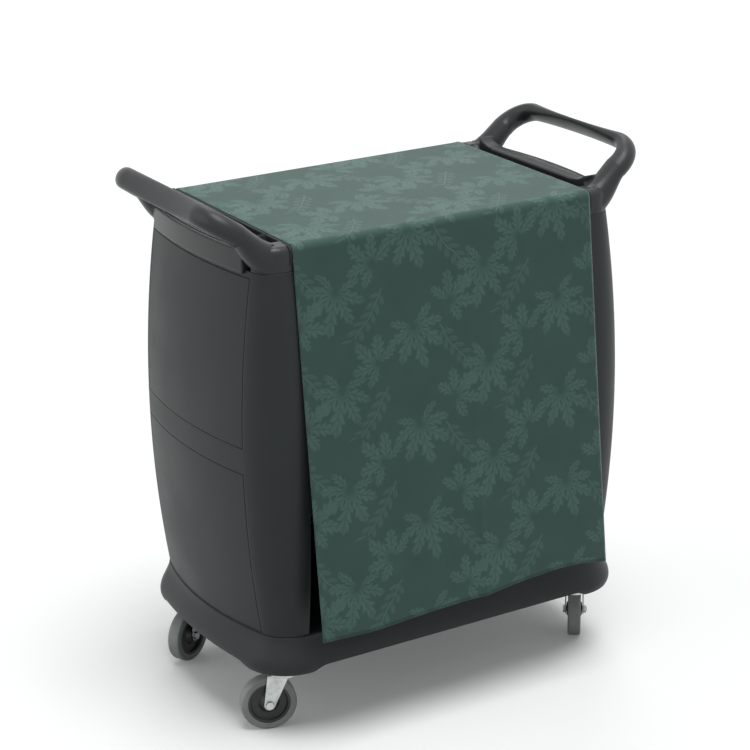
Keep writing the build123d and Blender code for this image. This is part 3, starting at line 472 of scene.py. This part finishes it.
@dataclass(frozen=True)
class DamaskFinish:
    """Woven cloth with tone-on-tone leaves, read from the cloth's own map.

    The map holds metres divided by map_scale. Motifs, repeat and stitches are in metres.
    """

    slot: Slot = Slot.CLOTH
    ground: Colour = (0.056, 0.111, 0.095)
    figure: Colour = (0.084, 0.166, 0.143)
    roughness_ground: float = 0.85
    roughness_figure: float = 0.62
    sheen: float = 0.38
    thread_pitch: float = 0.0011
    repeat: tuple[float, float] = (0.15, 0.175)
    large_hand: Motif = Motif(0.08, 0.018, (0.0, 0.0), 105.0)
    small_hand: Motif = Motif(0.06, 0.0175, (0.5, 0.3), -40.0, count=7.0, reach=2.0)
    sprig: Motif = Motif(0.1, 0.026, (0.52, 0.8), 62.0)
    sprig_start: tuple[float, float, float] = (0.05, -0.004, 0.0)
    sprig_pitch: float = 0.018
    sprig_bend: float = 1.6
    wander: float = 0.012
    map_scale: float = 2.0
    hem_stitch: float = 0.009
    stitches_per_metre: float = 320.0
    stitch_colour: Colour = (0.1, 0.17, 0.15)
    shade_dark: Colour = (0.93, 0.95, 0.95)
    shade_light: Colour = (1.05, 1.04, 1.04)

    def _tiles(self, graph: Graph, place: Socket, motif: Motif) -> Socket:
        """Place inside a half-drop repeat: each second column lies half a repeat lower and is mirrored.

        Args:
            graph: the material's graph.
            place: place on the cloth in metres.
            motif: the motif, whose shift is in shares of the repeat and whose turn is in degrees.

        Returns:
            Place in metres from the middle of the motif.
        """
        wide, high = self.repeat
        x, y, _ = graph.parts(place)
        column = graph.math("MULTIPLY_ADD", x, 1 / wide, motif.shift[0])
        second = graph.math("PINGPONG", graph.math("FLOOR", column), 1.0)
        drop = graph.math("MULTIPLY", second, 0.5)
        row = graph.math("ADD", graph.math("MULTIPLY_ADD", y, 1 / high, motif.shift[1]), drop)
        side = graph.math("MULTIPLY_ADD", second, -2.0, 1.0)
        local_x = graph.math("MULTIPLY", graph.math("SUBTRACT", graph.math("FRACT", column), 0.5), wide)
        local_y = graph.math("MULTIPLY", graph.math("SUBTRACT", graph.math("FRACT", row), 0.5), high)
        mirrored = graph.joined(graph.math("MULTIPLY", local_x, side), local_y)
        turned = {"Vector": mirrored, "Rotation": (0.0, 0.0, math.radians(motif.turn))}
        return graph.add("ShaderNodeMapping", turned).outputs[0]

    def _leaves(self, graph: Graph, effects: Effects, place: Socket) -> Socket:
        """Mask of every leaf: two hands and a sprig, each in its own repeat, on a slightly wandering place.

        Args:
            graph: the material's graph.
            effects: the shared node groups.
            place: place on the cloth in metres.

        Returns:
            The mask.
        """
        noise = graph.add("ShaderNodeTexNoise", {"Vector": place, "Scale": 26.0, "Detail": 1.0})
        offset = {0: noise.outputs["Color"], 1: (0.5, 0.5, 0.5)}
        centred = graph.add("ShaderNodeVectorMath", offset, operation="SUBTRACT").outputs[0]
        moved = graph.add("ShaderNodeVectorMath", {0: centred, "Scale": self.wander}, operation="SCALE")
        drawn = graph.add("ShaderNodeVectorMath", {0: place, 1: moved.outputs[0]}, operation="ADD").outputs[0]
        hands = [
            graph.place(
                effects.spray,
                Place=self._tiles(graph, drawn, hand),
                Count=hand.count,
                Reach=hand.reach,
                Length=hand.length,
                Width=hand.width,
            ).outputs[0]
            for hand in (self.large_hand, self.small_hand)
        ]
        started = {"Vector": self._tiles(graph, drawn, self.sprig), "Location": self.sprig_start}
        sprig = graph.place(
            effects.sprig,
            Place=graph.add("ShaderNodeMapping", started).outputs[0],
            Length=self.sprig.length,
            Leaflet=self.sprig.width,
            Pitch=self.sprig_pitch,
            Bend=self.sprig_bend,
        )
        return graph.math("MAXIMUM", graph.math("MAXIMUM", *hands), sprig.outputs[0])

    def _stitches(self, graph: Graph, edge: Socket, run: Socket) -> Socket:
        """Mask of the hem's stitches: short dashes in a line at the stitch distance from the edge.

        Args:
            graph: the material's graph.
            edge: distance from the nearest cut edge.
            run: distance along the cloth.

        Returns:
            The mask.
        """
        line = graph.math("ABSOLUTE", graph.math("SUBTRACT", edge, self.hem_stitch))
        thin = graph.math("SUBTRACT", 1.0, graph.rise(line, low=0.0003, high=0.0008))
        step = graph.math("FRACT", graph.math("MULTIPLY", run, self.stitches_per_metre))
        dash = graph.math("ABSOLUTE", graph.math("SUBTRACT", step, 0.5))
        return graph.math("MULTIPLY", thin, graph.rise(dash, low=0.12, high=0.2))

    def build(self, effects: Effects) -> bpy.types.Material:
        """Makes the material.

        Args:
            effects: the shared node groups.

        Returns:
            The material, named after its slot.
        """
        material = bpy.data.materials.new("finish_" + self.slot.value)
        material.use_nodes = True
        graph = Graph(material.node_tree)
        uv = graph.add("ShaderNodeUVMap", uv_map="cut").outputs[0]
        scaled = graph.add("ShaderNodeVectorMath", {0: uv, "Scale": self.map_scale}, operation="SCALE")
        place = scaled.outputs[0]
        leaves = self._leaves(graph, effects, place)
        edge = graph.add("ShaderNodeAttribute", attribute_name="edge_distance").outputs["Fac"]
        run = graph.math("ADD", *graph.parts(place)[:2])
        stitches = self._stitches(graph, edge, run)
        grain = graph.place(effects.grain, Position=place, Fine_scale=900.0, Patch_scale=14.0)
        mottle = graph.math("MULTIPLY_ADD", grain.outputs["Height"], 0.5, 0.7)
        figure = graph.math("MULTIPLY", leaves, mottle, clamp=True)
        colour = graph.mix(figure, (*self.ground, 1.0), (*self.figure, 1.0))
        shade = graph.mix(grain.outputs["Tint"], (*self.shade_dark, 1.0), (*self.shade_light, 1.0))
        both = {0: 1.0, 6: colour, 7: shade}
        tinted = graph.add("ShaderNodeMix", both, data_type="RGBA", blend_type="MULTIPLY").outputs[2]
        tinted = graph.mix(graph.math("MULTIPLY", stitches, 0.25), tinted, (*self.stitch_colour, 1.0))
        change = self.roughness_figure - self.roughness_ground
        rough = graph.math("MULTIPLY_ADD", leaves, change, self.roughness_ground)
        weave = graph.place(effects.weave, Place=place, Pitch=self.thread_pitch)
        height = graph.math("MULTIPLY_ADD", leaves, 0.5, graph.math("MULTIPLY", weave.outputs[0], 0.5))
        height = graph.math("SUBTRACT", height, graph.math("MULTIPLY", stitches, 0.8))
        bump = graph.add("ShaderNodeBump", {"Strength": 0.35, "Distance": 0.0003, "Height": height})
        shader = graph.add(
            "ShaderNodeBsdfPrincipled",
            {
                "Base Color": tinted,
                "Roughness": rough,
                "Normal": bump.outputs[0],
                "Sheen Weight": self.sheen,
                "Sheen Roughness": 0.4,
                "Specular IOR Level": 0.35,
            },
        )
        graph.add("ShaderNodeOutputMaterial", {"Surface": shader.outputs[0]})
        return material


GRIP = HardFinish(
    Slot.GRAPHITE, (0.024, 0.0275, 0.0295), (0.029, 0.033, 0.0355), (0.06, 0.064, 0.068), 0.3, 0.07,
    specular=0.34, grain_scale=1500.0, grain_strength=0.2, edge_radius=0.005, edge_share=0.2,
)
FINISHES: tuple[HardFinish, ...] = (
    HardFinish(
        Slot.GRAPHITE, (0.027, 0.031, 0.033), (0.033, 0.0375, 0.04), (0.07, 0.074, 0.078), 0.44, 0.08,
        specular=0.25, grain_scale=1100.0, edge_radius=0.004, edge_share=0.25,
    ),
    HardFinish(
        Slot.ZINC, (0.4, 0.415, 0.415), (0.6, 0.62, 0.615), (0.82, 0.83, 0.82), 0.22, 0.18, metallic=1.0,
        grain_scale=900.0, patch_scale=60.0, edge_radius=0.0008, dust_share=0.1,
        # Stronger painted shade in the corners of the plated parts.
        corner_shade_reach=0.004, corner_shade_share=0.7,
    ),
    HardFinish(
        Slot.BALL, (0.7, 0.7, 0.71), (0.78, 0.78, 0.79), (0.8, 0.8, 0.8), 0.1, 0.06, metallic=1.0,
        grain_scale=2500.0, grain_strength=0.1, edge_radius=0.0003,
    ),
    HardFinish(
        Slot.BRASS, (0.6, 0.45, 0.2), (0.76, 0.58, 0.3), (0.85, 0.7, 0.42), 0.3, 0.12, metallic=1.0,
        patch_scale=120.0, marks=Direction.TURNED, edge_radius=0.0004,
    ),
    HardFinish(
        Slot.HUB, (0.017, 0.018, 0.019), (0.026, 0.027, 0.028), (0.07, 0.07, 0.07), 0.38, 0.1,
        patch_scale=40.0, edge_radius=0.0012, dust_share=0.2,
    ),
    HardFinish(
        Slot.TREAD, (0.31, 0.335, 0.33), (0.39, 0.415, 0.41), (0.47, 0.49, 0.48), 0.55, 0.2,
        grain_scale=1800.0, patch_scale=45.0, edge_radius=0.0015, edge_share=0.35, dust_share=0.15,
    ),
)


@dataclass
class Tablecloth:
    """One sheet over the top shelf that hangs over both long sides, slightly flared and wavy at the hem."""

    half_length: float = 0.3035
    shelf_half_width: float = 0.218
    shelf_top: float = 0.9085
    edge_round: float = 0.012
    gap: float = 0.00035
    thickness: float = 0.0012
    hem_y: float = 0.290
    front_level: float = 0.209
    back_level: float = 0.165
    columns: int = 141
    rows: int = 321
    fold_height: float = 0.0035
    crease_x: float = 0.036
    crease_height: float = 0.0016
    crease_width: float = 0.006
    roll_height: float = 0.0007
    roll_width: float = 0.004
    wrinkle_x: float = 0.262
    wrinkle_width: float = 0.028
    wrinkle_height: float = 0.0011
    hem_x: tuple[float, ...] = (-0.3035, -0.2, -0.1, 0.0, 0.035, 0.1, 0.2, 0.25, 0.3035)
    hem_rise: tuple[float, ...] = (-0.0015, -0.0055, -0.0005, 0.0047, 0.003, 0.0108, 0.0172, 0.0138, 0.0052)
    back_share: float = 0.5
    back_drop: float = 0.008

    def _profile(self, hem_level: float) -> tuple[np.ndarray, np.ndarray, np.ndarray, np.ndarray]:
        """Profile of one half, from the middle of the top to the hem.

        A level run, an arc about the shelf's rounded edge and a straight fall tangent to that arc.

        Args:
            hem_level: height of this side's hem above the floor.

        Returns:
            Distance along the profile, its points as (y, z), its outward normals and the share of the fall.
        """
        centre = np.array([self.shelf_half_width - self.edge_round, self.shelf_top - self.edge_round])
        inner = self.edge_round + self.gap
        radius = inner + self.thickness
        out, drop = self.hem_y - centre[0], centre[1] - hem_level
        lean = math.atan2(out, drop) - math.asin(inner / math.hypot(out, drop))
        fall = math.sqrt(out**2 + drop**2 - inner**2)
        arc = radius * (math.pi / 2 - lean)
        total = centre[0] + arc + fall
        near = np.linspace(0.0, centre[0], self.rows // 5, endpoint=False)
        bend = np.linspace(centre[0], centre[0] + arc, self.rows // 32, endpoint=False)
        down = np.linspace(centre[0] + arc, total, self.rows // 2 + 1 - near.size - bend.size)
        along = np.concatenate([near, bend, down])
        angle = math.pi / 2 - np.clip((along - centre[0]) / radius, 0.0, math.pi / 2 - lean)
        level = np.minimum(along, centre[0])
        falling = np.maximum(along - centre[0] - arc, 0.0)
        normal = np.stack([np.cos(angle), np.sin(angle)], axis=1)
        points = np.stack([level, np.full_like(level, centre[1])], axis=1) + radius * normal
        points += falling[:, None] * np.array([math.sin(lean), -math.cos(lean)])
        fallen = np.clip((along - centre[0]) / (total - centre[0]), 0.0, 1.0)
        return along, points, normal, fallen

    def _relief(self, x: np.ndarray, fallen: np.ndarray, side: np.ndarray) -> np.ndarray:
        """How far the sheet stands off its profile.

        Broad folds A w^2 (1 + 0.6 sin(17 x + p) + 0.4 sin(31 x + 1.7 p)) / 2 that grow with the share w of
        the fall, one sharp crease exp(-(x - c)^2 / s^2) on the lower front, a small roll at both cut edges
        and a few short wrinkles below one front corner of the shelf.

        Args:
            x: place along the cart.
            fallen: share of the fall, from 0 at the shelf's edge to 1 at the hem.
            side: -1 on the front and +1 on the back.

        Returns:
            Distance along the outward normal.
        """
        front = side < 0
        phase = np.where(front, 0.6, 2.1)
        waves = 0.5 + 0.3 * np.sin(17.0 * x + phase) + 0.2 * np.sin(31.0 * x + 1.7 * phase)
        folds = self.fold_height * fallen**2 * waves
        crease = self.crease_height * np.exp(-(((x - self.crease_x) / self.crease_width) ** 2))
        crease *= np.clip((fallen - 0.45) / 0.3, 0.0, 1.0) * front
        inward = (self.half_length - np.abs(x) - self.roll_width) / self.roll_width
        roll = self.roll_height * np.exp(-(inward**2)) * (fallen > 0.0)
        corner = np.exp(-(((x - self.wrinkle_x) / self.wrinkle_width) ** 2))
        corner *= np.exp(-(((fallen - 0.02) / 0.035) ** 2)) * np.clip(fallen / 0.012, 0.0, 1.0)
        wrinkles = self.wrinkle_height * corner * (1.0 + np.sin(330.0 * (x - 0.4 * fallen))) * front
        return folds + crease + roll + wrinkles

    def _surface(self) -> tuple[np.ndarray, np.ndarray, np.ndarray]:
        """Points of the outer face on a grid of x by distance along the sheet.

        Returns:
            Points, map coordinates in metres from the sheet's corner and distance from the nearest cut edge.
        """
        front, front_points, front_normal, front_fallen = self._profile(self.front_level)
        back, back_points, back_normal, back_fallen = self._profile(self.back_level)
        distance = np.concatenate([-front[:0:-1], back])
        y_z = np.concatenate([front_points[:0:-1] * (-1.0, 1.0), back_points])
        facing = np.concatenate([front_normal[:0:-1] * (-1.0, 1.0), back_normal])
        fallen = np.concatenate([front_fallen[:0:-1], back_fallen])
        x = self.half_length * np.linspace(-1.0, 1.0, self.columns)
        x_grid, fallen_grid = np.meshgrid(x, fallen, indexing="ij")
        side_grid = np.broadcast_to(np.sign(distance), x_grid.shape)
        relief = self._relief(x_grid, fallen_grid, side_grid)
        fine = np.linspace(self.hem_x[0], self.hem_x[-1], 400)
        stepped = np.interp(fine, self.hem_x, self.hem_rise)
        window = np.hanning(41) / np.hanning(41).sum()
        smooth = np.convolve(np.pad(stepped, 20, mode="edge"), window, mode="valid")
        rise = np.interp(side_grid * -x_grid, fine, smooth)
        lift = np.where(side_grid < 0, rise, self.back_share * rise - self.back_drop) * fallen_grid**3
        points = np.empty((*x_grid.shape, 3))
        points[..., 0] = x_grid
        points[..., 1] = y_z[:, 0] + facing[:, 0] * relief
        points[..., 2] = y_z[:, 1] + facing[:, 1] * relief + lift
        from_hem = np.broadcast_to(distance - distance[0], x_grid.shape)
        cut = np.stack([x_grid + self.half_length, from_hem], axis=-1)
        to_hems = np.minimum(from_hem, distance[-1] - distance[0] - from_hem)
        edge = np.minimum(self.half_length - np.abs(x_grid), to_hems)
        return points, cut, edge

    def build(self, material: bpy.types.Material) -> bpy.types.Object:
        """Makes the cloth and gives it its thickness.

        Args:
            material: the cloth's finish.

        Returns:
            The cloth.
        """
        points, cut, edge = self._surface()
        columns, rows = points.shape[:2]
        index = np.arange(columns * rows).reshape(columns, rows)
        corner_grids = [index[:-1, :-1], index[1:, :-1], index[1:, 1:], index[:-1, 1:]]
        faces = np.stack(corner_grids, axis=-1).reshape(-1, 4)
        mesh = bpy.data.meshes.new("damask_cloth")
        mesh.from_pydata(points.reshape(-1, 3), [], faces)
        mesh.polygons.foreach_set("use_smooth", np.ones(len(faces), bool))
        corners = cut.reshape(-1, 2)[faces.reshape(-1)]
        layer = mesh.uv_layers.new(name="cut")
        layer.uv.foreach_set("vector", (corners / DamaskFinish.map_scale).astype(np.float32).reshape(-1))
        stored = mesh.attributes.new("edge_distance", "FLOAT", "POINT")
        stored.data.foreach_set("value", edge.astype(np.float32).reshape(-1))
        mesh.materials.append(material)
        cloth = bpy.data.objects.new("damask_cloth", mesh)
        bpy.context.scene.collection.objects.link(cloth)
        wall = cloth.modifiers.new("thickness", "SOLIDIFY")
        wall.thickness = self.thickness
        wall.offset = -1.0
        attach(cloth, "cart")
        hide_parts("tablecloth")
        return cloth


@dataclass
class CarriedParts:
    """The frame's own pieces, which keep their shape and get their finish."""

    effects: Effects

    def dress(self) -> int:
        """Gives each piece the finish of its material slot, and the handles their smoother one.

        Returns:
            How many pieces were dressed.
        """
        finishes = {finish.slot.value: finish.build(self.effects) for finish in FINISHES}
        grip = GRIP.build(self.effects)
        dressed = 0
        for name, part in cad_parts.items():
            for place in part.material_slots:
                finish = finishes.get(place.material.name.split(".")[0])
                if name.endswith("_handle"):
                    finish = grip
                if finish is not None:
                    place.material = finish
                    dressed += 1
        return dressed


@dataclass
class Studio:
    """Pale floor, soft light from above and the camera."""

    floor_half: float = 30.0
    floor_colour: Colour = (0.92, 0.94, 0.935)
    bounce_colour: Colour = (0.25, 0.26, 0.26)
    floor_glow: float = 0.1
    sky_strength: float = 0.31
    key_strength: float = 1.88
    key_angle: float = 34.0
    key_direction: tuple[float, float] = (280.0, 79.0)
    side_strength: float = 0.42
    side_angle: float = 50.0
    side_direction: tuple[float, float] = (165.0, 24.0)
    back_strength: float = 0.35
    back_angle: float = 25.0
    back_direction: tuple[float, float] = (62.0, 48.0)
    camera_place: tuple[float, float, float] = (-2.1051, -3.5041, 2.0398)
    camera_yaw: float = -30.8933
    camera_pitch: float = 19.9243
    camera_roll: float = -0.79066
    lens: float = 112.923
    shift: tuple[float, float] = (-0.005078, -0.002538)

    def lay_floor(self) -> None:
        """Lays the floor, which adds a little glow of its own for the camera and for reflections."""
        reach = self.floor_half
        corners = reach * np.array([[-1.0, -1.0, 0.0], [1.0, -1.0, 0.0], [1.0, 1.0, 0.0], [-1.0, 1.0, 0.0]])
        mesh = bpy.data.meshes.new("studio_floor")
        mesh.from_pydata(corners, [], [[0, 1, 2, 3]])
        floor = bpy.data.objects.new("studio_floor", mesh)
        bpy.context.scene.collection.objects.link(floor)
        material = bpy.data.materials.new("pale_floor")
        material.use_nodes = True
        graph = Graph(material.node_tree)
        rays = graph.add("ShaderNodeLightPath").outputs
        seen = graph.math("ADD", rays["Is Camera Ray"], rays["Is Glossy Ray"])
        seen = graph.math("ADD", seen, rays["Is Transmission Ray"], clamp=True)
        tone = graph.mix(rays["Is Diffuse Ray"], (*self.floor_colour, 1.0), (*self.bounce_colour, 1.0))
        matt = graph.add("ShaderNodeBsdfDiffuse", {"Color": tone})
        glow = graph.add("ShaderNodeEmission", {"Strength": graph.math("MULTIPLY", seen, self.floor_glow)})
        both = graph.add("ShaderNodeAddShader", {0: matt.outputs[0], 1: glow.outputs[0]})
        graph.add("ShaderNodeOutputMaterial", {"Surface": both.outputs[0]})
        mesh.materials.append(material)

    def light_sky(self) -> None:
        """Sets an even sky, white where it is seen."""
        world = bpy.data.worlds.new("studio_sky")
        world.use_nodes = True
        graph = Graph(world.node_tree)
        rays = graph.add("ShaderNodeLightPath").outputs
        seen = graph.math("ADD", rays["Is Camera Ray"], rays["Is Glossy Ray"])
        seen = graph.math("ADD", seen, rays["Is Transmission Ray"], clamp=True)
        strength = graph.math("MULTIPLY_ADD", seen, 1.0 - self.sky_strength, self.sky_strength)
        sky = graph.add("ShaderNodeBackground", {"Color": (1.0, 1.0, 1.0, 1.0), "Strength": strength})
        graph.add("ShaderNodeOutputWorld", {"Surface": sky.outputs[0]})
        bpy.context.scene.world = world

    def hang_lamp(self, name: str, strength: float, direction: tuple[float, float], angle: float) -> None:
        """Hangs one broad distant lamp.

        Args:
            name: the lamp's name.
            strength: its strength.
            direction: where it stands, as degrees round from +X and degrees above the floor.
            angle: how wide it looks, in degrees.
        """
        lamp = bpy.data.lights.new(name, "SUN")
        lamp.energy = strength
        lamp.angle = math.radians(angle)
        holder = bpy.data.objects.new(name, lamp)
        bpy.context.scene.collection.objects.link(holder)
        round_angle, height = math.radians(direction[0]), math.radians(direction[1])
        back = np.array([
            math.cos(round_angle) * math.cos(height),
            math.sin(round_angle) * math.cos(height),
            math.sin(height),
        ])
        side = np.cross([0.0, 0.0, 1.0], back)
        side /= np.linalg.norm(side)
        axes = np.eye(4)
        axes[:3, 0], axes[:3, 1], axes[:3, 2] = side, np.cross(back, side), back
        holder.matrix_world = Matrix(axes.tolist())

    def set_camera(self) -> None:
        """Places the camera: turned by the yaw, tipped down by the pitch and rolled."""
        yaw, pitch, roll = (math.radians(a) for a in (self.camera_yaw, self.camera_pitch, self.camera_roll))
        back = np.array([math.sin(yaw) * math.cos(pitch), -math.cos(yaw) * math.cos(pitch), math.sin(pitch)])
        level = np.cross(-back, [0.0, 0.0, 1.0])
        level /= np.linalg.norm(level)
        upright = np.cross(back, level)
        axes = np.eye(4)
        axes[:3, 0] = math.cos(roll) * level + math.sin(roll) * upright
        axes[:3, 1] = -math.sin(roll) * level + math.cos(roll) * upright
        axes[:3, 2] = back
        axes[:3, 3] = self.camera_place
        lens = bpy.data.cameras.new("camera")
        lens.sensor_width = 36.0
        lens.lens = self.lens
        lens.shift_x, lens.shift_y = self.shift
        lens.clip_end = 200.0
        camera = bpy.data.objects.new("camera", lens)
        bpy.context.scene.collection.objects.link(camera)
        camera.matrix_world = Matrix(axes.tolist())
        bpy.context.scene.camera = camera

    def build(self) -> None:
        """Sets up floor, sky, lamps and camera."""
        self.lay_floor()
        self.light_sky()
        self.hang_lamp("key_lamp", self.key_strength, self.key_direction, self.key_angle)
        self.hang_lamp("side_lamp", self.side_strength, self.side_direction, self.side_angle)
        self.hang_lamp("back_lamp", self.back_strength, self.back_direction, self.back_angle)
        self.set_camera()
        bpy.context.scene.view_settings.view_transform = "Standard"


def main() -> None:
    """Builds and dresses everything in order."""
    logging.basicConfig(level=logging.INFO, format="%(message)s")
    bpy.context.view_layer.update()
    effects = Effects()
    LOG.info("dressed %d carried parts", CarriedParts(effects).dress())
    cloth = Tablecloth().build(DamaskFinish().build(effects))
    LOG.info("%s: %d faces", cloth.name, len(cloth.data.polygons))
    Studio().build()
    LOG.info("studio set")


if __name__ == "__main__":
    main()
